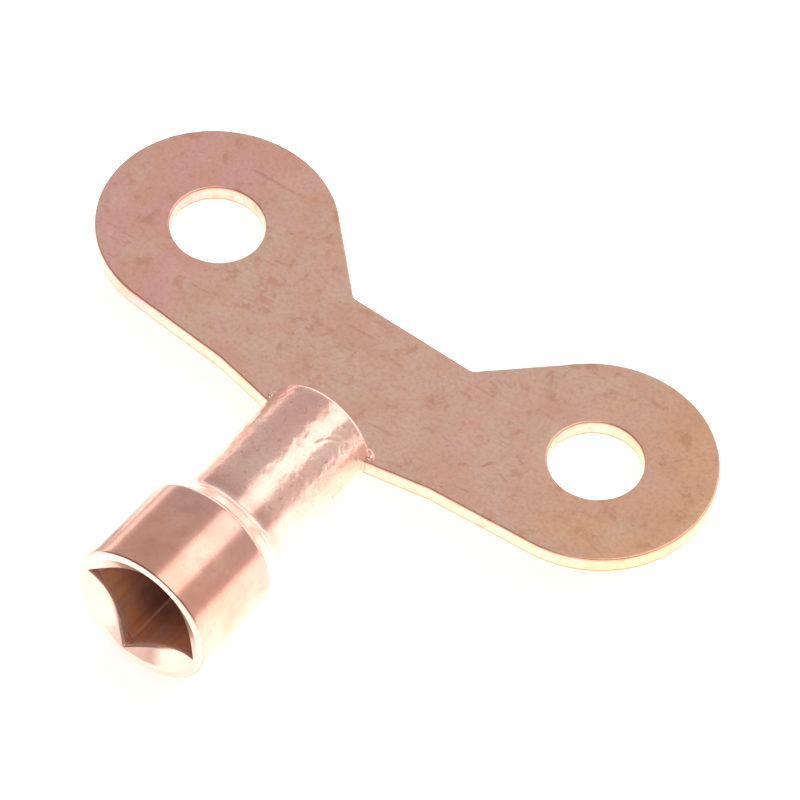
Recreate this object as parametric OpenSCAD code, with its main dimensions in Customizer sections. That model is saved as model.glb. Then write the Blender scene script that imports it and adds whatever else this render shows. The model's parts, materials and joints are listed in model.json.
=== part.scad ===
// Radiator bleed key: a flat two-lobed handle plate set in the end of a turned
// barrel, whose head has a square socket for the spindle of a bleed valve.
// Millimetres. The origin is the centre of the socket's mouth. The barrel runs
// along +Y from there to the plate, the wings lie along X, and the plate is
// level, with +Z out of its upper face.

/* [Handle plate] */
// Distance between the two finger holes
hole_spacing = 26.8; // [25:0.1:30]
// Distance from the socket's mouth to the line of the finger holes
hole_line = 24.5; // [24.2:0.1:27]
// Diameter of each finger hole
hole_d = 5.5; // [4:0.1:7]
// Outer radius of each round lobe
lobe_r = 7; // [6.6:0.1:7.4]
// Thickness of the plate
plate_t = 1.1; // [0.8:0.1:1.4]
// Width of the straight upper edge between the lobes
waist_w = 8.4; // [7.6:0.1:9.2]
// Height of the waist's upper edge above the line of the holes
waist_rise = 0.7; // [0:0.05:1]
// Radius in each corner of the waist
waist_fillet_r = 0.6; // [0.3:0.1:1]
// Width of the lower boss where it starts to drop from the wings
boss_w = 14.8; // [13:0.1:15.6]
// Distance from the socket's mouth to the start of the boss
boss_start = 17; // [16.8:0.1:17.4]
// Distance from the socket's mouth to the bottom of the boss
boss_foot = 16.2; // [15.8:0.1:16.5]

/* [Barrel] */
// Length of the barrel from the mouth to the end of the neck
barrel_len = 16.8; // [16.6:0.1:17.2]
// Diameter of the socket head
head_d = 9; // [8.8:0.1:10]
// Length of the socket head
head_len = 6; // [5.9:0.1:6.4]
// Diameter of the neck
neck_d = 6.8; // [6.6:0.1:7.4]
// Distance from the socket's mouth to the start of the plain neck
neck_start = 7.6; // [7.4:0.1:8.2]
// Chamfer round the front of the head
front_chamfer = 0.15; // [0.1:0.05:0.3]
// Chamfer round the end of the neck
neck_chamfer = 0.2; // [0.1:0.05:0.3]

/* [Socket] */
// Width across the flats of the square socket
socket_af = 5.5; // [5.1:0.05:5.6]
// Depth of the square socket
socket_depth = 5.7; // [4.5:0.1:5.8]
// Turn of the square about the barrel's axis, away from the plate
socket_turn = 30; // [0:5:45]
// Diameter of the countersink at the mouth
countersink_d = 7.96; // [7.94:0.02:8.1]
// Full angle of the countersink
countersink_angle = 120; // [100:5:130]
// Depth of the round pilot hole behind the square
pilot_depth = 8; // [6.5:0.1:9]

/* [Joint between plate and barrel] */
// Width of the plate's tang, inside the neck
tang_w = 4; // [3:0.1:5]
// Distance from the end of the neck to the foot of the tang
tang_depth = 3.5; // [2.5:0.1:4.2]
// Height of the brazed fillet against the end of the neck
braze_leg = 0.5; // [0.3:0.1:0.8]

/* [Hidden] */
$fn = 64;

// Room on each side of the plate and its tang, for the film of filler metal
fit_gap = 0.02;
// How far a cutting shape runs past the surface that it cuts
overcut = 1;
// Size of the broken edge at the back of the head and of the fillet at the neck
shoulder_round = 0.35;
// A rounded corner is drawn with one point between its ends: this far in and this far along
round_in = 0.25;
round_along = 0.7;
// How far along the barrel a rounded corner ends, as a share of its size
round_end = 1.2;
// Smaller than the square, so that the broach leaves all four flats
pilot_d = socket_af - 0.1;
// Full angle of the drill's point
drill_angle = 118;
// Radius of the hollow in the braze, as a share of its leg: under 1 keeps its two tips solid
braze_hollow = 0.98;

half_spacing = hole_spacing / 2;
waist_line = hole_line + waist_rise;
waist_corner = [waist_w / 2, waist_line];
boss_bend = [boss_w / 2, boss_start];
boss_corner = [neck_d / 2, boss_foot];
lobe_centre = [half_spacing, hole_line];
tang_foot = barrel_len - tang_depth;
slot_w = plate_t + 2 * fit_gap;
slot_floor = boss_foot - fit_gap;
head_r = head_d / 2;
neck_r = neck_d / 2;

// Angle of the point where a line from p touches the circle round c. side is 1 or -1.
function touch_angle(p, c, r, side) =
    atan2(p[1] - c[1], p[0] - c[0]) + side * acos(r / norm(p - c));
function on_circle(c, r, angle) = c + r * [cos(angle), sin(angle)];
function unit(v) = v / norm(v);

upper_touch = on_circle(lobe_centre, lobe_r, touch_angle(waist_corner, lobe_centre, lobe_r, -1));
lower_touch = on_circle(lobe_centre, lobe_r, touch_angle(boss_bend, lobe_centre, lobe_r, 1));

// The rounded right corner of the waist, from the waist's edge to the web's edge.
function waist_corner_arc() =
    let(
        along_waist = [-1, 0],
        along_web = unit(upper_touch - waist_corner),
        half_corner = acos(along_waist * along_web) / 2,
        centre = waist_corner + unit(along_waist + along_web) * waist_fillet_r / sin(half_corner),
        sweep = 180 - 2 * half_corner,
        steps = 6
    )
    [for (i = [0:steps]) on_circle(centre, waist_fillet_r, -90 + sweep * i / steps)];

// The plate's middle: waist, boss and tang, out to the centres of both lobes.
module web() {
    lower = [[tang_w / 2, tang_foot], [tang_w / 2, boss_foot], boss_corner, boss_bend, lower_touch];
    waist = waist_corner_arc();
    last = len(waist) - 1;
    right = concat(lower, [lobe_centre, upper_touch], [for (i = [last:-1:0]) waist[i]]);
    right_last = len(right) - 1;
    left = [for (i = [right_last:-1:0]) [-right[i][0], right[i][1]]];
    polygon(concat(right, left));
}

module plate_outline() {
    difference() {
        union() {
            web();
            for (side = [-1, 1]) translate([side * half_spacing, hole_line]) circle(lobe_r);
        }
        for (side = [-1, 1]) translate([side * half_spacing, hole_line]) circle(d = hole_d);
    }
}

// The stamped plate, with the tang that enters the barrel.
module handle_plate() {
    color("rosybrown")
    translate([0, 0, -plate_t / 2])
    linear_extrude(plate_t) plate_outline();
}

// The barrel's turned outline: radius against distance from the mouth.
module turned_outline() {
    polygon([
        [0, 0],
        [head_r - front_chamfer, 0],
        [head_r, front_chamfer],
        [head_r, head_len],
        [head_r - shoulder_round * round_in, head_len + shoulder_round * round_along],
        [head_r - shoulder_round, head_len + shoulder_round * round_end],
        [neck_r + shoulder_round * round_in, neck_start - shoulder_round * round_along],
        [neck_r, neck_start],
        [neck_r, barrel_len - neck_chamfer],
        [neck_r - neck_chamfer, barrel_len],
        [0, barrel_len]
    ]);
}

// The square socket, its countersink and the pilot hole behind it.
module socket_cut() {
    countersink_h = countersink_d / 2 / tan(countersink_angle / 2);
    point_h = pilot_d / 2 / tan(drill_angle / 2);
    cylinder(h = countersink_h, d1 = countersink_d, d2 = 0);
    rotate(-socket_turn)
    translate([-socket_af / 2, -socket_af / 2, -overcut])
    cube([socket_af, socket_af, socket_depth + overcut]);
    cylinder(h = pilot_depth, d = pilot_d);
    translate([0, 0, pilot_depth]) cylinder(h = point_h, d1 = pilot_d, d2 = 0);
}

// The shallow slot that straddles the plate's lower edge, and the tang's pocket.
module plate_seat_cut() {
    translate([-head_d, -slot_w / 2, slot_floor]) cube([2 * head_d, slot_w, head_d]);
    translate([-tang_w / 2 - fit_gap, -slot_w / 2, tang_foot - fit_gap])
    cube([tang_w + 2 * fit_gap, slot_w, tang_depth]);
}

// The barrel, turned from bar, broached and drilled.
module barrel() {
    color("tan")
    rotate([-90, 0, 0])
    difference() {
        rotate_extrude() turned_outline();
        socket_cut();
        plate_seat_cut();
    }
}

// One run of filler metal in the corner between the plate's face and the neck's end.
module braze_run() {
    run_len = neck_d - 2 * neck_chamfer;
    translate([-run_len / 2, barrel_len, plate_t / 2])
    rotate([90, 0, 90])
    linear_extrude(run_len)
    difference() {
        square(braze_leg);
        translate([braze_leg, braze_leg]) circle(braze_leg * braze_hollow);
    }
}

// The filler on both faces of the plate.
module braze_fillet() {
    color("goldenrod") {
        braze_run();
        mirror([0, 0, 1]) braze_run();
    }
}

handle_plate();
barrel();
braze_fillet();
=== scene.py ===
"""A brass radiator bleed key, lying face up on a pale sheet under soft studio light.

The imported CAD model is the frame. Each CAD node is stood for by a finished mesh of the same size:
a stamped plate with rolled edges, a turned barrel with a broached socket, and a run of braze.
Lengths are in metres. Sizes that the frame doesn't state are written in millimetres times MM.
"""

import json
import math

import bpy
import bmesh
from mathutils import Matrix, Vector, geometry, noise


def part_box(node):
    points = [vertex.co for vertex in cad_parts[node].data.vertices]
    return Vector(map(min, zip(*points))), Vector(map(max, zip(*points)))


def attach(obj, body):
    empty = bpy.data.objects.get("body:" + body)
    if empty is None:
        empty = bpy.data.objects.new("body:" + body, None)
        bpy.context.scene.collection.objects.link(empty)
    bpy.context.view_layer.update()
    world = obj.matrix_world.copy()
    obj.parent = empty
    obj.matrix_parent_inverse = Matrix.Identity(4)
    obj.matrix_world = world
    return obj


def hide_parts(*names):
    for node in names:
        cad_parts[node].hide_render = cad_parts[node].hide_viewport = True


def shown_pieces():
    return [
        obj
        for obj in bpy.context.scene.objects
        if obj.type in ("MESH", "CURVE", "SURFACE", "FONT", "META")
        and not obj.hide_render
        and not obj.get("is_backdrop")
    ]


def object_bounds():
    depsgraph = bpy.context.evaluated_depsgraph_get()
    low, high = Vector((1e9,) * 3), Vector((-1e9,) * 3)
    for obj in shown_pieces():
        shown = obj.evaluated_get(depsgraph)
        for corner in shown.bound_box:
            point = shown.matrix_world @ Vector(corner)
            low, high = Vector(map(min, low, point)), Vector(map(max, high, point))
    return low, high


MM = 0.001
QUARTER_TURN = math.pi / 2

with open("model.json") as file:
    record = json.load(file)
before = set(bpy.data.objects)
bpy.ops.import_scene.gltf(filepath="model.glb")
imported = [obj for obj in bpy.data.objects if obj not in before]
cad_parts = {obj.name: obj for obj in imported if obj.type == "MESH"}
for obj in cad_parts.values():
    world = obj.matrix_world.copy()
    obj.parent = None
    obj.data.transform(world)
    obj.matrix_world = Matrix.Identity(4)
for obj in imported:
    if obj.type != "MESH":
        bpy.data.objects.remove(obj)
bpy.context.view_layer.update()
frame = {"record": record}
mounts = {m["name"]: m for m in frame["record"]["mounts"]}

# ---------------------------------------------------------------- sizes from the frame
plate_low, plate_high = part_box("handle_plate")
_, barrel_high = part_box("barrel")
HOLE = Vector(mounts["right_finger_hole"]["pos_m"][:2])
HOLE_R = mounts["right_finger_hole"]["dims"]["r_mm"] * MM
PLATE_T = plate_high.z - plate_low.z
LOBE_R = plate_high.x - HOLE.x
TANG_FOOT = plate_low.y
BARREL_LEN = barrel_high.y
HEAD_R = barrel_high.x

# ---------------------------------------------------------------- sizes of the design's details
# The plate: its waist, its lower boss and its rolled edges
WAIST_HALF = 4.2 * MM
WAIST_LINE = HOLE.y + 0.7 * MM
WAIST_FILLET = 0.6 * MM
BOSS_HALF = 7.4 * MM
BOSS_START = 17.0 * MM
BOSS_FOOT = 16.2 * MM
BOSS_BEND_R = 3.0 * MM
TANG_HALF = 2.0 * MM
TOP_EDGE_R = 0.10 * MM
BOTTOM_EDGE_R = 0.06 * MM
OUTLINE_STEP = 0.22 * MM
FACE_STEP = 0.5 * MM
# The barrel's outside, from the head to the neck's end
HEAD_LEN = 6.0 * MM
FRONT_CHAMFER = 0.15 * MM
RIM_CROWN = 0.02 * MM
SHOULDER_R = 0.42 * MM
SHOULDER_SLOPE = math.radians(55)
NECK_R = 3.4 * MM
NECK_START = 7.6 * MM
NECK_FILLET_R = 0.75 * MM
NECK_FILLET_END = NECK_START + 0.25 * MM
NECK_EDGE_R = 0.25 * MM
# The socket, its countersink and the pilot hole behind it
SOCKET_HALF = 2.75 * MM
SOCKET_CORNER_R = SOCKET_HALF * math.sqrt(2)
SOCKET_DEPTH = 5.7 * MM
SOCKET_TURN = math.radians(30)
BROKEN_EDGE = 0.05 * MM
COUNTERSINK_R = 3.98 * MM
COUNTERSINK_SLOPE = math.tan(math.radians(60))
PILOT_R = 2.7 * MM
PILOT_DEPTH = 8.0 * MM
DRILL_POINT = PILOT_DEPTH + PILOT_R / math.tan(math.radians(59))
# The joint between plate and barrel
SEAT_GAP = 0.02 * MM
BRAZE_LEG = 0.5 * MM
BEAD_R = 0.46 * BRAZE_LEG
BEAD_SIDES = 14
BEAD_STEP = 0.09 * MM
BEAD_END_STEPS = 6


# ================================================================ small helpers
def new_piece(name, points, faces, node):
    """A mesh object that rides on the root body and stands for a CAD node."""
    mesh = bpy.data.meshes.new(name)
    mesh.from_pydata([tuple(p) for p in points], [], faces)
    piece = bpy.data.objects.new(name, mesh)
    bpy.context.scene.collection.objects.link(piece)
    tidy_mesh(piece)
    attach(piece, "root")
    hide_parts(node)
    return piece


def tidy_mesh(piece, sharp_degrees=35):
    """Merges doubled points, turns the faces outwards and smooths all but the sharp edges."""
    bm = bmesh.new()
    bm.from_mesh(piece.data)
    bmesh.ops.remove_doubles(bm, verts=bm.verts, dist=1e-7)
    bmesh.ops.recalc_face_normals(bm, faces=bm.faces)
    bm.to_mesh(piece.data)
    bm.free()
    piece.data.shade_smooth()
    piece.data.set_sharp_from_angle(angle=math.radians(sharp_degrees))


def ease(t):
    """A smooth step from 0 to 1."""
    t = min(1.0, max(0.0, t))
    return t * t * (3 - 2 * t)


def soft_noise(x, y, z, size, seed=0.0):
    """Smooth noise from about -1 to 1, whose lumps are about size across."""
    return noise.noise(Vector((x / size + seed, y / size - seed, z / size + 2 * seed)))


def pits(x, y, z, size, seed):
    """0 on the surface, rising to 1 at the middle of scattered round pits."""
    where = Vector((x / size + seed, y / size, z / size - seed))
    distances, centres = noise.voronoi(where)
    chosen = noise.noise(centres[0] * 1.7 + Vector((seed, 0, 0)))
    threshold, pit_radius = 0.12, 0.42
    if chosen < threshold:
        return 0.0
    return ease(1 - distances[0] / pit_radius)


def arc(centre, radius, start, end, steps):
    """Flat points along an arc, both ends included."""
    angles = [start + (end - start) * i / steps for i in range(steps + 1)]
    return [centre + radius * Vector((math.cos(a), math.sin(a))) for a in angles]


def run(start, end, steps):
    """Evenly spaced points on a straight line, from the first one after start to end."""
    return [(start[0] + (end[0] - start[0]) * i / steps, start[1] + (end[1] - start[1]) * i / steps)
            for i in range(1, steps + 1)]


# ================================================================ the handle plate
def touch_angle(point, centre, radius, side):
    """Angle on the circle of the point where a line from point touches it."""
    away = point - centre
    return math.atan2(away.y, away.x) + side * math.acos(radius / away.length)


def rounded_corner(before, corner, after, radius, steps=12):
    """The arc that rounds a corner between two straight edges."""
    to_before = (before - corner).normalized()
    to_after = (after - corner).normalized()
    half = to_before.angle(to_after) / 2
    reach = radius / math.tan(half)
    centre = corner + (to_before + to_after).normalized() * radius / math.sin(half)
    start = corner + to_before * reach - centre
    end = corner + to_after * reach - centre
    start_angle = math.atan2(start.y, start.x)
    sweep = (math.atan2(end.y, end.x) - start_angle + math.pi) % (2 * math.pi) - math.pi
    return arc(centre, radius, start_angle, start_angle + sweep, steps)


def plate_outline():
    """The plate's outline, anticlockwise, with the tang's foot at the bottom."""
    bend = Vector((BOSS_HALF, BOSS_START))
    foot = Vector((NECK_R, BOSS_FOOT))
    waist = Vector((WAIST_HALF, WAIST_LINE))
    low_angle = touch_angle(bend, HOLE, LOBE_R, 1)
    high_angle = touch_angle(waist, HOLE, LOBE_R, -1)
    lobe = arc(HOLE, LOBE_R, low_angle, high_angle % (2 * math.pi), 160)
    right = [Vector((TANG_HALF, TANG_FOOT)), Vector((TANG_HALF, BOSS_FOOT)), foot]
    right += rounded_corner(foot, bend, lobe[0], BOSS_BEND_R)
    right += lobe
    right += rounded_corner(lobe[-1], waist, Vector((0, WAIST_LINE)), WAIST_FILLET)
    left = [Vector((-p.x, p.y)) for p in reversed(right)]
    return right + left


def resample(loop, step):
    """A closed loop cut into pieces of at most step, with its corners kept."""
    points = []
    for here, there in zip(loop, loop[1:] + loop[:1]):
        length = (there - here).length
        if length < 1e-9:
            continue
        count = max(1, math.ceil(length / step))
        points += [here.lerp(there, i / count) for i in range(count)]
    return points


def inward_normals(loop):
    """Unit normals that point to the left of a loop's direction, one for each point."""
    normals = []
    for i, here in enumerate(loop):
        ahead = (loop[(i + 1) % len(loop)] - here).normalized()
        behind = (here - loop[i - 1]).normalized()
        along = (ahead + behind).normalized()
        normals.append(Vector((-along.y, along.x)))
    return normals


def edge_profile():
    """(inset, height) pairs down the plate's edge: rolled on top, nearly square below."""
    half = PLATE_T / 2
    top_line = half - TOP_EDGE_R
    bottom_line = BOTTOM_EDGE_R - half
    top = arc(Vector((TOP_EDGE_R, top_line)), TOP_EDGE_R, QUARTER_TURN, 2 * QUARTER_TURN, 6)
    side = run((0, top_line), (0, bottom_line), 5)[:-1]
    bottom = arc(Vector((BOTTOM_EDGE_R, bottom_line)), BOTTOM_EDGE_R, 2 * QUARTER_TURN, 3 * QUARTER_TURN, 6)
    return top + side + bottom


def inside(point, loop):
    """True if a flat point lies inside a closed loop."""
    hit = False
    for here, there in zip(loop, loop[1:] + loop[:1]):
        if (here.y > point.y) != (there.y > point.y):
            cross = here.x + (point.y - here.y) * (there.x - here.x) / (there.y - here.y)
            hit = hit != (point.x < cross)
    return hit


def flat_fill(outer, holes, step):
    """Triangles over the area between a loop and its holes, with evenly spread inner points."""
    loops = [outer] + holes
    points = [p.copy() for loop in loops for p in loop]
    edges = []
    base = 0
    for loop in loops:
        edges += [(base + i, base + (i + 1) % len(loop)) for i in range(len(loop))]
        base += len(loop)
    low = Vector((min(p.x for p in outer), min(p.y for p in outer)))
    high = Vector((max(p.x for p in outer), max(p.y for p in outer)))
    coarse = outer[::4]
    hole_centres = (HOLE, Vector((-HOLE.x, HOLE.y)))
    row_step = step * math.sqrt(3) / 2
    for row in range(math.ceil((high.y - low.y) / row_step)):
        y = low.y + row * row_step
        for column in range(math.ceil((high.x - low.x) / step)):
            spot = Vector((low.x + (column + 0.5 * (row % 2)) * step, y))
            if any((spot - centre).length < HOLE_R + 0.3 * MM for centre in hole_centres):
                continue
            if min((spot - p).length for p in coarse) > 1.2 * step and inside(spot, coarse):
                points.append(spot)
    flat, _, faces, *_ = geometry.delaunay_2d_cdt(points, edges, [], 0, 1e-9)
    kept = []
    for face in faces:
        middle = sum((flat[i] for i in face), Vector((0, 0))) / len(face)
        if inside(middle, outer) and not any(inside(middle, hole) for hole in holes):
            kept.append(tuple(face))
    return flat, kept


def plate_waviness(x, y):
    """The plate's slight departure from flat, in metres."""
    broad = 0.035 * MM * soft_noise(x, y, 0, 11 * MM, 3.1)
    fine = 0.006 * MM * soft_noise(x, y, 0, 2.2 * MM, 8.4)
    return broad + fine


def make_plate():
    """The stamped plate: a wall down each outline, two triangulated faces, and slight waves and nicks."""
    profile = edge_profile()
    outer = resample(plate_outline(), OUTLINE_STEP)
    rims = [arc(Vector((x, HOLE.y)), HOLE_R, 0, -4 * QUARTER_TURN, 96)[:-1] for x in (HOLE.x, -HOLE.x)]
    points = []
    faces = []
    top_loops = []
    bottom_loops = []
    for loop in [outer] + rims:
        normals = inward_normals(loop)
        first = len(points)
        count = len(loop)
        for level, (inset, height) in enumerate(profile):
            for p, n in zip(loop, normals):
                rough = 0.012 * MM * soft_noise(p.x, p.y, height, 0.5 * MM, 5.0)
                edge = p + n * (inset + rough)
                points.append((edge.x, edge.y, height))
            if level:
                for i in range(count):
                    j = (i + 1) % count
                    above = first + (level - 1) * count
                    below = first + level * count
                    faces.append((above + i, above + j, below + j, below + i))
        top_loops.append([Vector(points[first + i][:2]) for i in range(count)])
        last = first + (len(profile) - 1) * count
        bottom_loops.append([Vector(points[last + i][:2]) for i in range(count)])
    for loops, height in ((top_loops, PLATE_T / 2), (bottom_loops, -PLATE_T / 2)):
        flat, triangles = flat_fill(loops[0], loops[1:], FACE_STEP)
        base = len(points)
        points += [(p.x, p.y, height) for p in flat]
        faces += [tuple(base + i for i in triangle) for triangle in triangles]
    shaped = []
    for x, y, z in points:
        # The plate stays flat where the barrel holds it.
        seat = ease((y - BARREL_LEN - 0.5 * MM) / (3 * MM))
        on_face = abs(z) > PLATE_T * 0.49
        nick = 0.012 * MM * pits(x, y, z, 1.3 * MM, 4.0) if on_face else 0
        shaped.append((x, y, z + seat * plate_waviness(x, y) - math.copysign(nick, z)))
    return new_piece("handle_plate_skin", shaped, faces, "handle_plate")


# ================================================================ the barrel
SECTORS = 288
NECK_ROWS = 105
HEAD_ROWS = 24


def socket_radius(angle):
    """Distance from the axis to the square socket's wall, in one direction."""
    turned = angle - SOCKET_TURN
    flat = SOCKET_HALF / max(abs(math.cos(turned)), abs(math.sin(turned)))
    return min(flat, SOCKET_CORNER_R - 0.03 * MM)


def socket_stations(angle):
    """(radius, depth) pairs from the drill's point out to the rim, in one direction."""
    wall = socket_radius(angle)
    wall_top = (COUNTERSINK_R - wall) / COUNTERSINK_SLOPE + BROKEN_EDGE
    cone_start = wall + min(BROKEN_EDGE, (COUNTERSINK_R - wall) / 2)
    turns = [
        (0, DRILL_POINT),
        (PILOT_R, PILOT_DEPTH),
        (PILOT_R, SOCKET_DEPTH),
        (wall, SOCKET_DEPTH),
        (wall, wall_top),
        (cone_start, (COUNTERSINK_R - cone_start) / COUNTERSINK_SLOPE),
        (COUNTERSINK_R, 0),
    ]
    rows = (8, 6, 3, 20, 1, 8)
    stations = []
    for here, there, count in zip(turns, turns[1:], rows):
        stations += run(here, there, count)
    return stations


def outer_stations():
    """(radius, distance from the mouth) pairs from the rim, over the outside, to the neck's end."""
    rim_r = HEAD_R - FRONT_CHAMFER
    front = arc(Vector((rim_r, FRONT_CHAMFER)), FRONT_CHAMFER, -QUARTER_TURN, 0, 6)
    shoulder = arc(Vector((HEAD_R - SHOULDER_R, HEAD_LEN)), SHOULDER_R, 0, SHOULDER_SLOPE, 8)
    fillet_centre = Vector((NECK_R + NECK_FILLET_R, NECK_FILLET_END))
    fillet = arc(fillet_centre, NECK_FILLET_R, math.pi + SHOULDER_SLOPE, math.pi, 8)
    end_centre = Vector((NECK_R - NECK_EDGE_R, BARREL_LEN - NECK_EDGE_R))
    end = arc(end_centre, NECK_EDGE_R, 0, QUARTER_TURN, 8)
    stations = []
    for i in range(1, 8):
        share = i / 8
        crown = RIM_CROWN * ((2 * share - 1) ** 2 - 1)
        stations.append((COUNTERSINK_R + (rim_r - COUNTERSINK_R) * share, crown))
    stations += front
    stations += run(front[-1], shoulder[0], HEAD_ROWS)
    stations += shoulder[1:]
    stations += run(shoulder[-1], fillet[0], 5)[:-1]
    stations += fillet
    stations += run(fillet[-1], end[0], NECK_ROWS)
    stations += end[1:]
    stations += run(end[-1], (0, BARREL_LEN), 8)[:-1]
    return stations


def lap_mark(x, y, z):
    """The curved fold on the neck's skin: a fine groove with a raised lip, on part of a circle."""
    centre_round, centre_y, mark_r = 0.9 * MM, 13.0 * MM, 2.95 * MM
    along = NECK_R * math.atan2(z, x) - centre_round
    down = y - centre_y
    off = math.hypot(along, down) - mark_r + 0.12 * MM * soft_noise(x, y, z, 1.2 * MM, 3.0)
    turn = math.degrees(math.atan2(down, along))
    share = ease((turn - 5) / 25) * ease((95 - turn) / 45)
    groove = math.exp(-((off / (0.07 * MM)) ** 2))
    lip = math.exp(-(((off - 0.16 * MM) / (0.09 * MM)) ** 2))
    return share * MM * (0.010 * lip - 0.024 * groove)


def barrel_wear(x, y, z):
    """How far the barrel's skin stands out, in metres: dents and pits on the neck, little on the head."""
    # The heights are in millimetres until the last line.
    on_neck = ease((y - NECK_START) / (1.5 * MM))
    patch = ease(0.55 + 2.0 * soft_noise(x, y, z, 3.5 * MM, 9.0)) * ease((y - 9 * MM) / (3 * MM))
    lumps = 0.020 * soft_noise(x, y, z, 2.6 * MM, 1.0) + 0.012 * soft_noise(x, y, z, 0.9 * MM, 6.0)
    lumps += (0.004 + 0.016 * patch) * soft_noise(x, y, z, 0.38 * MM, 5.0)
    lumps += 0.007 * patch * soft_noise(x, y, z, 0.2 * MM, 8.0)
    holes = 0.016 * patch * pits(x, y, z, 0.42 * MM, 2.0) + 0.010 * pits(x, y, z, 0.26 * MM, 7.0)
    head = 0.005 * soft_noise(x, y, z, 3.0 * MM, 4.0) + 0.0012 * soft_noise(x, y, z, 0.5 * MM, 2.0)
    return MM * (on_neck * (lumps - holes) + (1 - on_neck) * head) + lap_mark(x, y, z)


def no_wear(x, y, z):
    """The wear of a crisp edge: none."""
    return 0.0


def ring_of(angles, r, y, wear):
    """One ring of points round the axis, standing out by wear(x, y, z)."""
    ring = []
    for a in angles:
        out = r + wear(r * math.cos(a), y, r * math.sin(a))
        ring.append(Vector((out * math.cos(a), y, out * math.sin(a))))
    return ring


def make_barrel():
    """The turned barrel: rings from the drill's point round to the neck's end, then the plate's seat."""
    rings = []
    angles = [2 * math.pi * i / SECTORS for i in range(SECTORS)]
    socket = [socket_stations(a) for a in angles]
    for level in range(len(socket[0])):
        ring = []
        for a, stations in zip(angles, socket):
            r, y = stations[level]
            ring.append(Vector((r * math.cos(a), y, r * math.sin(a))))
        rings.append(ring)
    hair = 0.001 * MM
    for r, y in outer_stations():
        worn = FRONT_CHAMFER + hair < y < BARREL_LEN - NECK_EDGE_R - hair
        rings.append(ring_of(angles, r, y, barrel_wear if worn else no_wear))
    points = [p for ring in rings for p in ring]
    faces = []
    for level in range(len(rings) - 1):
        near, far = level * SECTORS, (level + 1) * SECTORS
        for i in range(SECTORS):
            j = (i + 1) % SECTORS
            faces.append((near + i, near + j, far + j))
            faces.append((near + i, far + j, far + i))
    for tip, ring_start in ((DRILL_POINT, 0), (BARREL_LEN, (len(rings) - 1) * SECTORS)):
        points.append(Vector((0, tip, 0)))
        centre = len(points) - 1
        faces += [(centre, ring_start + i, ring_start + (i + 1) % SECTORS) for i in range(SECTORS)]
    barrel = new_piece("barrel_skin", points, faces, "barrel")
    cut_box(barrel, (-HEAD_R, BOSS_FOOT - SEAT_GAP), (HEAD_R, BARREL_LEN + HEAD_R))
    pocket_half = TANG_HALF + SEAT_GAP
    cut_box(barrel, (-pocket_half, TANG_FOOT - SEAT_GAP), (pocket_half, BARREL_LEN))
    tidy_mesh(barrel, 40)
    return barrel


def cut_box(piece, low, high):
    """Cuts a level slot that the plate just fits out of a piece, between two corners in X and Y."""
    half = PLATE_T / 2 + SEAT_GAP
    bm = bmesh.new()
    bmesh.ops.create_cube(bm, size=1)
    size = Vector((high[0] - low[0], high[1] - low[1], 2 * half))
    middle = Vector(((high[0] + low[0]) / 2, (high[1] + low[1]) / 2, 0))
    place = Matrix.Translation(middle) @ Matrix.Diagonal((*size, 1))
    bmesh.ops.transform(bm, matrix=place, verts=bm.verts)
    mesh = bpy.data.meshes.new("cutter")
    bm.to_mesh(mesh)
    bm.free()
    cutter = bpy.data.objects.new("cutter", mesh)
    bpy.context.scene.collection.objects.link(cutter)
    cut = piece.modifiers.new("cut", "BOOLEAN")
    cut.operation = "DIFFERENCE"
    cut.solver = "EXACT"
    cut.object = cutter
    bake_modifiers(piece)
    bpy.data.objects.remove(cutter)


def bake_modifiers(piece):
    """Applies a piece's modifiers to its mesh."""
    graph = bpy.context.evaluated_depsgraph_get()
    done = bpy.data.meshes.new_from_object(piece.evaluated_get(graph), depsgraph=graph)
    piece.modifiers.clear()
    piece.data = done


# ================================================================ the braze
def braze_path():
    """The bead's centre line on a plate face, from beside the neck, round its end, to the other side."""
    out = NECK_R + 0.10 * MM
    turn_r = 0.35 * MM
    corner = Vector((out - turn_r, BARREL_LEN + 0.02 * MM - turn_r))
    right = [Vector((out + 0.05 * MM, BOSS_FOOT + 0.20 * MM)), Vector((out, BOSS_FOOT + 0.30 * MM))]
    right += arc(corner, turn_r, 0, QUARTER_TURN, 8)
    left = [Vector((-p.x, p.y)) for p in reversed(right)]
    return right + left


def make_braze():
    """A narrow bead of filler on each face, along the neck's end, rounded at each end."""
    points = []
    faces = []
    coarse = braze_path()
    path = []
    for here, there in zip(coarse, coarse[1:]):
        count = max(1, math.ceil((there - here).length / BEAD_STEP))
        path += [here.lerp(there, i / count) for i in range(count)]
    path.append(coarse[-1])
    for face_side in (1, -1):
        first = len(points)
        for i, here in enumerate(path):
            along = (path[min(i + 1, len(path) - 1)] - path[max(i - 1, 0)]).normalized()
            across = Vector((-along.y, along.x))
            from_end = min(i, len(path) - 1 - i) / BEAD_END_STEPS
            end = math.sqrt(max(0.02, 1 - max(0.0, 1 - from_end) ** 2))
            lump = 1 + 0.25 * soft_noise(here.x, here.y, face_side, 0.9 * MM, 2.0 + face_side)
            radius = BEAD_R * end * lump
            for k in range(BEAD_SIDES):
                a = 2 * math.pi * k / BEAD_SIDES
                spot = here + across * radius * math.cos(a)
                height = PLATE_T / 2 + 0.02 * MM + radius * 0.85 * math.sin(a)
                points.append((spot.x, spot.y, face_side * height))
        for i in range(len(path) - 1):
            near, far = first + i * BEAD_SIDES, first + (i + 1) * BEAD_SIDES
            for k in range(BEAD_SIDES):
                k2 = (k + 1) % BEAD_SIDES
                faces.append((near + k, near + k2, far + k2, far + k))
        last = first + (len(path) - 1) * BEAD_SIDES
        faces.append(tuple(first + k for k in range(BEAD_SIDES)))
        faces.append(tuple(last + k for k in range(BEAD_SIDES)))
    return new_piece("braze_fillet_skin", points, faces, "braze_fillet")


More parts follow.
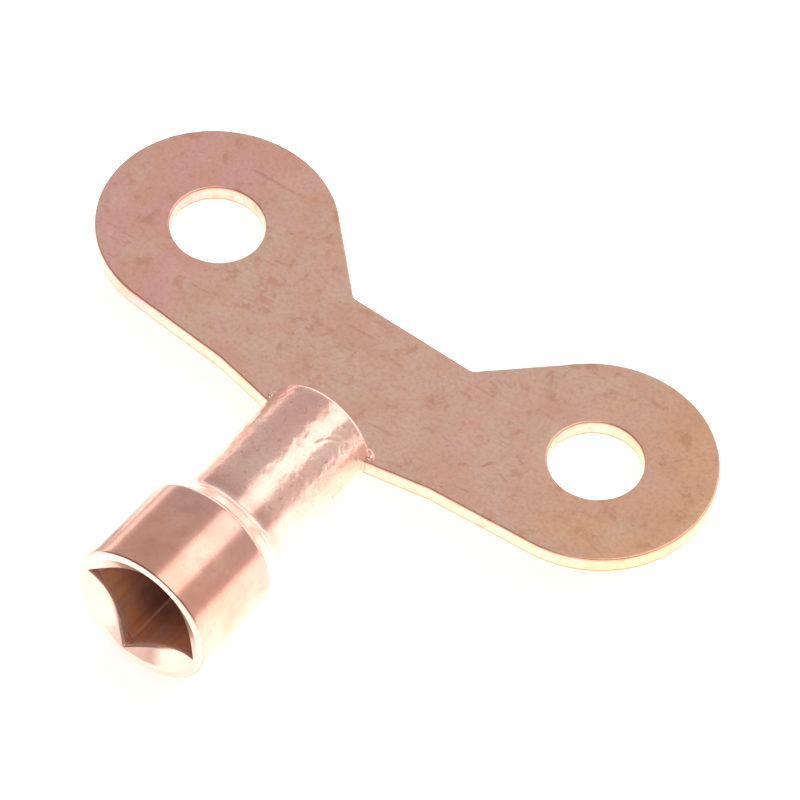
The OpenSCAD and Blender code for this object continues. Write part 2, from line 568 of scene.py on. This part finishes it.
# ================================================================ materials
class Nodes:
    """Short calls that add and join shader nodes."""

    def __init__(self, tree):
        self.tree = tree
        tree.nodes.clear()

    def add(self, kind, inputs=None, **settings):
        node = self.tree.nodes.new(kind)
        for key, value in settings.items():
            setattr(node, key, value)
        for key, value in (inputs or {}).items():
            self.put(value, node.inputs[key])
        return node

    def put(self, value, socket):
        if isinstance(value, bpy.types.NodeSocket):
            self.tree.links.new(value, socket)
        else:
            socket.default_value = value

    def math(self, operation, a, b=0.0):
        node = self.add("ShaderNodeMath", operation=operation)
        self.put(a, node.inputs[0])
        self.put(b, node.inputs[1])
        return node.outputs[0]

    def times(self, a, b):
        return self.math("MULTIPLY", a, b)

    def plus(self, a, b):
        return self.math("ADD", a, b)

    def minus(self, a, b):
        return self.math("SUBTRACT", a, b)

    def parts(self, vector):
        """The X, Y and Z of a vector."""
        node = self.add("ShaderNodeSeparateXYZ", {"Vector": vector})
        return (node.outputs["X"], node.outputs["Y"], node.outputs["Z"])

    def mix(self, share, a, b):
        node = self.add("ShaderNodeMix", data_type="RGBA", blend_type="MIX")
        self.put(share, node.inputs["Factor"])
        self.put(a, node.inputs["A"])
        self.put(b, node.inputs["B"])
        return node.outputs["Result"]

    def tint(self, colour, mask, share, over):
        """The colour with up to a share of another laid over it where the mask is."""
        return self.mix(self.times(mask, share), colour, over)

    def noise(self, place, size, detail=3.0, roughness=0.55, distortion=0.0):
        """Smooth noise from 0 to 1, whose lumps are about size across."""
        node = self.add("ShaderNodeTexNoise", {"Vector": place, "Scale": 1 / size, "Detail": detail})
        self.put(roughness, node.inputs["Roughness"])
        self.put(distortion, node.inputs["Distortion"])
        return node.outputs["Fac"]

    def ramp(self, value, low, high, out_low=0.0, out_high=1.0):
        """A smooth step from out_low to out_high as the value goes from low to high."""
        ends = {"From Min": low, "From Max": high, "To Min": out_low, "To Max": out_high}
        node = self.add("ShaderNodeMapRange", {"Value": value, **ends}, interpolation_type="SMOOTHSTEP")
        return node.outputs["Result"]

    def patches(self, place, size, low, high, detail=3.0, roughness=0.62, distortion=0.2):
        """1 in scattered patches about size across and 0 elsewhere."""
        return self.ramp(self.noise(place, size, detail, roughness, distortion), low, high)


def new_material(name):
    """An empty material, the calls that fill it, and the place on the object."""
    material = bpy.data.materials.new(name)
    material.use_nodes = True
    n = Nodes(material.node_tree)
    return material, n, n.add("ShaderNodeTexCoord").outputs["Object"]


def srgb(red, green, blue):
    """A colour given as 0 to 255 screen values, as the linear values that shaders take."""

    def linear(value):
        value /= 255
        return value / 12.92 if value <= 0.04045 else ((value + 0.055) / 1.055) ** 2.4

    return (linear(red), linear(green), linear(blue), 1.0)


def streaks(n, place, angle, size, length, low, high):
    """Sparse, soft streaks at an angle from the X axis: 1 on a streak and 0 elsewhere."""
    turn = {"Rotation": (0.0, 0.0, angle), "Scale": (length / size, 1.0, 1.0)}
    turned = n.add("ShaderNodeMapping", {"Vector": place, **turn}, vector_type="TEXTURE").outputs["Vector"]
    return n.ramp(n.noise(turned, size, 2.0, 0.5, 0.6), low, high)


def plate_material():
    """Stamped sheet: satin brass, painted rosy at one end and orange at the other as painted reflections,
    with mottled tarnish, small stains and fine grain; its rolled edges carry painted dark reflections.
    """
    material, n, place = new_material("plate_brass")
    x, _, z = n.parts(place)

    # The ground colour drifts from rosy at the left lobe to orange at the right one: painted reflections,
    # standing in for the two wings mirroring different parts of the room.
    wander = n.times(n.minus(n.noise(place, 7 * MM, 2.0), 0.5), 12 * MM)
    station = n.plus(x, wander)
    painted_rosy_reflection = n.ramp(station, -9 * MM, -15 * MM)
    painted_orange_reflection = n.ramp(station, 11 * MM, 17 * MM)
    colour = n.mix(painted_rosy_reflection, srgb(244, 201, 182), srgb(246, 187, 178))
    colour = n.mix(painted_orange_reflection, colour, srgb(249, 196, 159))

    # Tarnish lies on it in layers, from broad clouds to fine grain.
    cloud = n.patches(place, 2.4 * MM, 0.42, 0.64, 4.0, 0.60, 0.3)
    colour = n.tint(colour, cloud, 0.55, srgb(239, 184, 154))
    pale = n.patches(place, 3.1 * MM, 0.50, 0.68, 4.0)
    colour = n.tint(colour, pale, 0.45, srgb(242, 213, 190))
    blotch = n.patches(place, 1.0 * MM, 0.53, 0.70)
    colour = n.tint(colour, blotch, 0.62, srgb(222, 156, 126))
    pink = n.patches(place, 1.3 * MM, 0.54, 0.70)
    colour = n.tint(colour, pink, 0.40, srgb(246, 188, 184))
    grain = n.noise(place, 0.26 * MM, 3.0, 0.75)
    colour = n.mix(n.ramp(grain, 0.42, 0.66, 0.0, 0.36), colour, srgb(218, 164, 142))
    spots = streaks(n, place, 0.70, 0.62 * MM, 1.3 * MM, 0.69, 0.80)
    colour = n.tint(colour, spots, 0.55, srgb(164, 108, 88))
    near_level = streaks(n, place, 0.10, 0.34 * MM, 3.0 * MM, 0.66, 0.74)
    slanting = streaks(n, place, -0.35, 0.26 * MM, 4.0 * MM, 0.68, 0.76)
    marks = n.math("MAXIMUM", near_level, slanting)
    colour = n.tint(colour, marks, 0.34, srgb(192, 136, 112))

    # Painted dark reflections on the rolled edge: a brown line along it, and a grey one where that edge
    # faces away.
    height = n.math("ABSOLUTE", z)
    half = PLATE_T / 2
    edge = n.ramp(height, half - 0.19 * MM, half - 0.12 * MM)
    edge = n.times(edge, n.ramp(height, half - 0.06 * MM, half - 0.03 * MM, 1.0, 0.0))
    colour = n.tint(colour, edge, 0.65, srgb(196, 122, 88))
    _, facing, _ = n.parts(n.add("ShaderNodeTexCoord").outputs["Normal"])
    # The grey line follows the edge's normal: a painted reflection of the dim room on the far edges.
    away = n.times(n.ramp(facing, 0.15, 0.45), n.ramp(height, half - 0.10 * MM, half - 0.06 * MM))
    colour = n.tint(colour, away, 0.80, srgb(128, 98, 104))

    # The punch leaves fine upright lines on the cut walls.
    wall = n.ramp(height, half - 0.12 * MM, half - 0.05 * MM, 1.0, 0.0)
    upright = n.add("ShaderNodeMapping", {"Vector": place, "Scale": (1.0, 1.0, 0.12)}).outputs["Vector"]
    shear = n.times(n.noise(upright, 0.22 * MM, 3.0, 0.7), wall)
    colour = n.mix(n.ramp(shear, 0.45, 0.72, 0.0, 0.35), colour, srgb(226, 164, 124))

    rough = n.plus(0.27, n.times(n.noise(place, 1.4 * MM, 4.0), 0.14))
    rough = n.plus(rough, n.times(spots, 0.12))
    relief = n.times(grain, 0.6)
    relief = n.plus(relief, n.times(n.noise(place, 0.55 * MM, 3.0, 0.6), 1.2))
    relief = n.plus(relief, n.times(shear, 1.5))
    relief = n.minus(relief, n.times(marks, 0.5))
    bump = n.add("ShaderNodeBump", {"Strength": 0.6, "Distance": 0.012 * MM, "Height": relief})
    finish_metal(n, colour, rough, bump.outputs["Normal"])
    return material


def inside_socket(n, y, radius):
    """1 on the walls of the socket and its pilot hole, and 0 elsewhere."""
    limit = n.ramp(y, HEAD_LEN, HEAD_LEN + 0.4 * MM, COUNTERSINK_R - 0.12 * MM, PILOT_R + 0.1 * MM)
    within = n.math("LESS_THAN", radius, limit)
    deep = n.ramp(y, 0.45 * MM, 1.1 * MM)
    shallow = n.math("LESS_THAN", y, PILOT_DEPTH + 2 * MM)
    return n.times(n.times(within, deep), shallow)


def socket_colour(n, place, y, radius, drawn):
    """Oxide colour in the socket: amber near the mouth and dusky further in as painted shade, with a
    painted highlight as a pale line down each corner.
    """
    mottle = n.ramp(n.noise(place, 1.3 * MM, 3.0), 0.35, 0.65)
    amber = n.mix(mottle, srgb(240, 176, 128), srgb(218, 170, 148))
    smoke = n.ramp(n.noise(place, 1.0 * MM, 3.0), 0.35, 0.65)
    painted_deep_shade = n.mix(smoke, srgb(160, 126, 116), srgb(190, 140, 118))
    # The walls darken further in: painted shade in the socket's depth.
    walls = n.mix(n.ramp(y, 1.2 * MM, 3.6 * MM), amber, painted_deep_shade)
    walls = n.mix(n.ramp(drawn, 0.42, 0.72, 0.0, 0.20), walls, srgb(132, 96, 84))
    # Painted highlight: a pale line down each corner.
    corner = n.ramp(radius, SOCKET_CORNER_R - 0.10 * MM, SOCKET_CORNER_R - 0.05 * MM)
    return n.tint(walls, corner, 0.65, srgb(240, 214, 198))


def painted_highlight_mask(n, y, radius):
    """1 where pale painted highlights go: the mouth, the shoulder's slope and the neck's edge."""
    mouth = n.math("LESS_THAN", radius, HEAD_R - 0.1 * MM)
    mouth = n.times(mouth, n.ramp(y, 0.45 * MM, 1.1 * MM, 1.0, 0.0))
    slope = n.ramp(y, HEAD_LEN, HEAD_LEN + 0.4 * MM)
    slope = n.times(slope, n.ramp(y, NECK_START, NECK_START + 0.5 * MM, 1.0, 0.0))
    end = n.ramp(y, BARREL_LEN - 0.34 * MM, BARREL_LEN - 0.20 * MM)
    end = n.times(end, n.ramp(radius, NECK_R - 0.3 * MM, NECK_R - 0.2 * MM))
    return n.math("MAXIMUM", n.math("MAXIMUM", mouth, slope), end)


def barrel_material():
    """Turned bar: brighter and smoother than the plate, specked on the neck, oxidised in the socket, with
    painted shade and painted highlights in places.
    """
    material, n, place = new_material("barrel_brass")
    x, y, z = n.parts(place)
    radius = n.math("SQRT", n.plus(n.times(x, x), n.times(z, z)))
    on_neck = n.ramp(y, NECK_START, NECK_START + 2 * MM)

    # The head darkens to mauve towards the shoulder, as painted shade. The neck is paler.
    soft = n.ramp(n.noise(place, 2.8 * MM, 3.0, 0.55, 0.4), 0.38, 0.64)
    tarnish = n.ramp(n.noise(place, 1.1 * MM, 4.0, 0.6, 0.3), 0.46, 0.66, 0.0, 0.40)
    head = n.mix(soft, srgb(232, 170, 148), srgb(236, 182, 164))
    # Painted shade: mauve towards the shoulder.
    head = n.mix(n.ramp(y, 3.2 * MM, HEAD_LEN, 0.0, 0.50), head, srgb(214, 170, 162))
    head = n.mix(tarnish, head, srgb(210, 154, 136))
    neck = n.mix(soft, srgb(246, 196, 180), srgb(247, 208, 192))
    neck = n.mix(tarnish, neck, srgb(226, 178, 166))
    colour = n.mix(on_neck, head, neck)
    grain = n.noise(place, 0.16 * MM, 3.0, 0.7)
    colour = n.mix(n.ramp(grain, 0.40, 0.75, 0.0, 0.22), colour, srgb(206, 154, 134))
    specks = n.ramp(n.noise(place, 0.42 * MM, 3.0, 0.6, 0.8), 0.60, 0.72)
    speck_share = n.plus(0.12, n.times(on_neck, 0.40))
    colour = n.tint(colour, specks, speck_share, srgb(176, 128, 112))

    # The broach draws its lines along the socket.
    socket = inside_socket(n, y, radius)
    along = n.add("ShaderNodeMapping", {"Vector": place, "Scale": (1.0, 0.06, 1.0)}).outputs["Vector"]
    drawn = n.noise(along, 0.30 * MM, 3.0, 0.6, 0.2)
    colour = n.mix(socket, colour, socket_colour(n, place, y, radius, drawn))
    # Painted highlights: paler, less metallic colour at the mouth, the shoulder's slope and the neck's
    # edge.
    painted_highlight = n.times(painted_highlight_mask(n, y, radius), 0.65)
    colour = n.tint(colour, painted_highlight, 0.8, srgb(250, 220, 208))

    # The lathe leaves rings round the outside.
    rings = n.add("ShaderNodeMapping", {"Vector": place, "Scale": (0.04, 1.0, 0.04)}).outputs["Vector"]
    turned = n.noise(rings, 0.16 * MM, 2.0, 0.6)
    rough = n.plus(0.15, n.times(n.noise(place, 0.9 * MM, 3.0), 0.10))
    rough = n.plus(rough, n.times(on_neck, 0.07))
    rough = n.plus(rough, n.times(socket, 0.16))
    relief = n.times(turned, 0.35)
    relief = n.plus(relief, n.times(grain, n.plus(0.35, n.times(on_neck, 0.5))))
    hammered = n.times(n.noise(place, 0.45 * MM, 3.0), n.plus(0.3, n.times(on_neck, 1.6)))
    relief = n.plus(relief, hammered)
    relief = n.plus(relief, n.times(drawn, n.times(socket, 0.25)))
    bump = n.add("ShaderNodeBump", {"Strength": 0.5, "Distance": 0.010 * MM, "Height": relief})
    metallic = n.minus(n.minus(1.0, n.times(socket, 0.45)), n.times(painted_highlight, 0.20))
    finish_metal(n, colour, rough, bump.outputs["Normal"], metallic)
    return material


def braze_material():
    """Filler metal: smooth, bright and a little yellower."""
    material, n, place = new_material("braze_metal")
    shade = n.ramp(n.noise(place, 0.8 * MM), 0.35, 0.7)
    colour = n.mix(shade, srgb(248, 204, 178), srgb(246, 196, 182))
    rough = n.plus(0.20, n.times(n.noise(place, 0.4 * MM), 0.14))
    relief = n.noise(place, 0.3 * MM)
    bump = n.add("ShaderNodeBump", {"Strength": 0.4, "Distance": 0.012 * MM, "Height": relief})
    finish_metal(n, colour, rough, bump.outputs["Normal"])
    return material


def finish_metal(n, colour, rough, normal, metallic=1.0):
    """Ends a metal's node tree. A metallic value under 1 leaves some dull oxide on it.

    Metal seen in other metal is drawn paler, so that a double reflection doesn't turn red.
    """
    mirrored = n.add("ShaderNodeLightPath").outputs["Is Glossy Ray"]
    colour = n.tint(colour, mirrored, 0.55, srgb(252, 240, 230))
    finish = {"Base Color": colour, "Metallic": metallic, "Roughness": rough, "Normal": normal}
    metal = n.add("ShaderNodeBsdfPrincipled", finish)
    n.add("ShaderNodeOutputMaterial", {"Surface": metal.outputs["BSDF"]})


# ================================================================ the studio
SHEET_SIZE = 1.2
SHEET_DROP = 0.05 * MM
CAMERA_AZIMUTH = math.radians(33)
CAMERA_ELEVATION = math.radians(51.8)
CAMERA_ROLL = math.radians(5)
CAMERA_DISTANCE = 0.58
FRAME_FILL = 0.80


def resting_plane():
    """A point and the upward normal of the sheet that the key really lies on.

    It touches the back of the head and the end of the neck, which are the lowest places.
    """
    front = Vector((0, HEAD_LEN, -HEAD_R))
    back = Vector((0, BARREL_LEN - NECK_EDGE_R, -NECK_R))
    along = (back - front).normalized()
    return front, along.cross(Vector((-1, 0, 0))).normalized()


def make_sheet():
    """The pale sheet under the key. It shows white to the camera and lights the metal from below."""
    point, normal = resting_plane()
    bm = bmesh.new()
    bmesh.ops.create_grid(bm, x_segments=1, y_segments=1, size=SHEET_SIZE)
    turn = normal.to_track_quat("Z", "Y").to_matrix().to_4x4()
    drop = normal * SHEET_DROP
    bmesh.ops.transform(bm, matrix=Matrix.Translation(point - drop) @ turn, verts=bm.verts)
    mesh = bpy.data.meshes.new("sheet")
    bm.to_mesh(mesh)
    bm.free()
    sheet = bpy.data.objects.new("sheet", mesh)
    bpy.context.scene.collection.objects.link(sheet)
    sheet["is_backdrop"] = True
    sheet.data.materials.append(sheet_material())


def sheet_material():
    """White to the camera. In reflections it glows, and has painted shade behind the head's left side."""
    material, n, place = new_material("sheet_white")
    seen = n.add("ShaderNodeLightPath").outputs["Is Camera Ray"]
    x, y, _ = n.parts(place)
    # Painted shade in the sheet's reflection behind the head's left side, where the floor would lie in the
    # key's shade.
    left = n.ramp(x, -19 * MM, -14 * MM, 1.0, 0.0)
    behind = n.ramp(y, 3 * MM, 8 * MM)
    beside_head = n.ramp(y, 14 * MM, 15.5 * MM, 1.0, 0.0)
    beyond_plate = n.ramp(x, -32 * MM, -26 * MM, 1.0, 0.0)
    floor_shade_patch = n.times(n.times(left, behind), n.math("MAXIMUM", beside_head, beyond_plate))
    floor_shade_patch = n.times(floor_shade_patch, n.ramp(x, -62 * MM, -44 * MM, 0.25, 1.0))
    share = n.minus(1.0, n.times(floor_shade_patch, 0.72))
    matt = n.add("ShaderNodeBsdfDiffuse", {"Color": (0.92, 0.91, 0.90, 1)})
    lift = n.add("ShaderNodeEmission", {"Color": (1, 0.99, 0.98, 1), "Strength": 0.55})
    paper = n.add("ShaderNodeAddShader", {0: matt.outputs[0], 1: lift.outputs[0]})
    tone = n.mix(share, (0.0, 0.0, 0.0, 1.0), (0.85, 0.84, 0.83, 1.0))
    dimmed = n.add("ShaderNodeBsdfDiffuse", {"Color": tone})
    glow_strength = n.times(share, 1.15)
    glow = n.add("ShaderNodeEmission", {"Color": (1.0, 0.99, 0.97, 1), "Strength": glow_strength})
    mirrored = n.add("ShaderNodeAddShader", {0: dimmed.outputs[0], 1: glow.outputs[0]})
    both = n.add("ShaderNodeMixShader", {0: seen, 1: mirrored.outputs[0], 2: paper.outputs[0]})
    n.add("ShaderNodeOutputMaterial", {"Surface": both.outputs[0]})
    return material


def softbox(n, x, y, z):
    """1 inside the rectangular soft light overhead, as seen from the key, and 0 outside it."""
    height = n.math("MAXIMUM", z, 0.05)
    across = n.math("DIVIDE", x, height)
    forward = n.math("DIVIDE", y, height)
    left = n.ramp(across, -0.02, 0.14)
    right = n.ramp(across, 0.72, 0.90, 1.0, 0.0)
    near = n.ramp(forward, -0.9, -0.5)
    far = n.ramp(forward, 1.5, 2.1, 1.0, 0.0)
    box = n.times(n.times(left, right), n.times(near, far))
    return n.times(box, n.ramp(z, 0.05, 0.25))


def room_light(n, x, y, z):
    """How bright the room is in each direction from the key."""
    wall = n.ramp(x, 0.2, 0.6, 0.61, 0.70)
    behind = n.ramp(y, -0.25, 0.10)
    wall = n.times(wall, n.plus(0.35, n.times(behind, 0.65)))
    side = n.math("DIVIDE", n.math("ABSOLUTE", x), n.math("MAXIMUM", y, 0.05))
    sweep = n.times(n.ramp(side, 0.6, 1.0, 1.0, 0.0), n.ramp(z, 0.22, 0.42, 1.0, 0.0))
    horizon = n.times(n.ramp(z, 0.02, 0.14, 1.1, 0.0), n.ramp(x, -0.6, -0.3, 0.15, 1.0))
    extra = n.math("MAXIMUM", horizon, n.times(sweep, 0.9))
    return n.plus(n.plus(wall, extra), n.times(softbox(n, x, y, z), 1.28))


def make_studio():
    """The room that the metal mirrors: a large soft light above, a bright sweep behind, dimmer walls."""
    world = bpy.data.worlds.new("studio")
    world.use_nodes = True
    bpy.context.scene.world = world
    n = Nodes(world.node_tree)
    x, y, z = n.parts(n.add("ShaderNodeTexCoord").outputs["Generated"])
    warm = {"Color": (1.0, 0.985, 0.97, 1), "Strength": room_light(n, x, y, z)}
    room = n.add("ShaderNodeBackground", warm)
    seen = n.add("ShaderNodeLightPath").outputs["Is Camera Ray"]
    white = n.add("ShaderNodeBackground", {"Color": (1, 1, 1, 1), "Strength": 1.0})
    both = n.add("ShaderNodeMixShader", {0: seen, 1: room.outputs[0], 2: white.outputs[0]})
    n.add("ShaderNodeOutputWorld", {"Surface": both.outputs[0]})


def add_soft_light(name, place, size, power, target):
    """A large square lamp that gives the key a soft shadow."""
    lamp = bpy.data.lights.new(name, "AREA")
    lamp.shape = "SQUARE"
    lamp.size = size
    lamp.energy = power
    holder = bpy.data.objects.new(name, lamp)
    holder.location = place
    holder.rotation_mode = "QUATERNION"
    holder.rotation_quaternion = (target - Vector(place)).to_track_quat("-Z", "Y")
    holder.visible_glossy = False
    bpy.context.scene.collection.objects.link(holder)


def make_camera():
    """The camera at the photographed key's viewing angle, centred and filling most of the frame."""
    level = Vector((math.sin(CAMERA_AZIMUTH), -math.cos(CAMERA_AZIMUTH), 0)) * math.cos(CAMERA_ELEVATION)
    back = level + Vector((0, 0, math.sin(CAMERA_ELEVATION)))
    turn = (-back).to_track_quat("-Z", "Y").to_matrix() @ Matrix.Rotation(CAMERA_ROLL, 3, "Z")
    right, up = turn.col[0], turn.col[1]
    corners = [v.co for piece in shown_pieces() for v in piece.data.vertices]
    across = [p.dot(right) for p in corners]
    above = [p.dot(up) for p in corners]
    middle_x = (max(across) + min(across)) / 2
    middle_y = (max(above) + min(above)) / 2
    span = max(max(across) - min(across), max(above) - min(above))
    low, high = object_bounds()
    depth = ((low + high) / 2).dot(back)
    target = right * middle_x + up * middle_y + back * depth
    camera = bpy.data.cameras.new("camera")
    camera.sensor_width = 36
    camera.lens = camera.sensor_width * CAMERA_DISTANCE * FRAME_FILL / span
    camera.clip_start = 0.01
    camera.clip_end = 10
    holder = bpy.data.objects.new("camera", camera)
    holder.matrix_world = Matrix.Translation(target + back * CAMERA_DISTANCE) @ turn.to_4x4()
    bpy.context.scene.collection.objects.link(holder)
    bpy.context.scene.camera = holder
    return target


# ================================================================ build
for piece, material in (
    (make_plate(), plate_material()),
    (make_barrel(), barrel_material()),
    (make_braze(), braze_material()),
):
    piece.data.materials.clear()
    piece.data.materials.append(material)

make_sheet()
make_studio()
aim = make_camera()
add_soft_light("key_light", place=(-0.15, 0.25, 0.55), size=0.35, power=2.2, target=aim)
bpy.context.scene.view_settings.view_transform = "Standard"
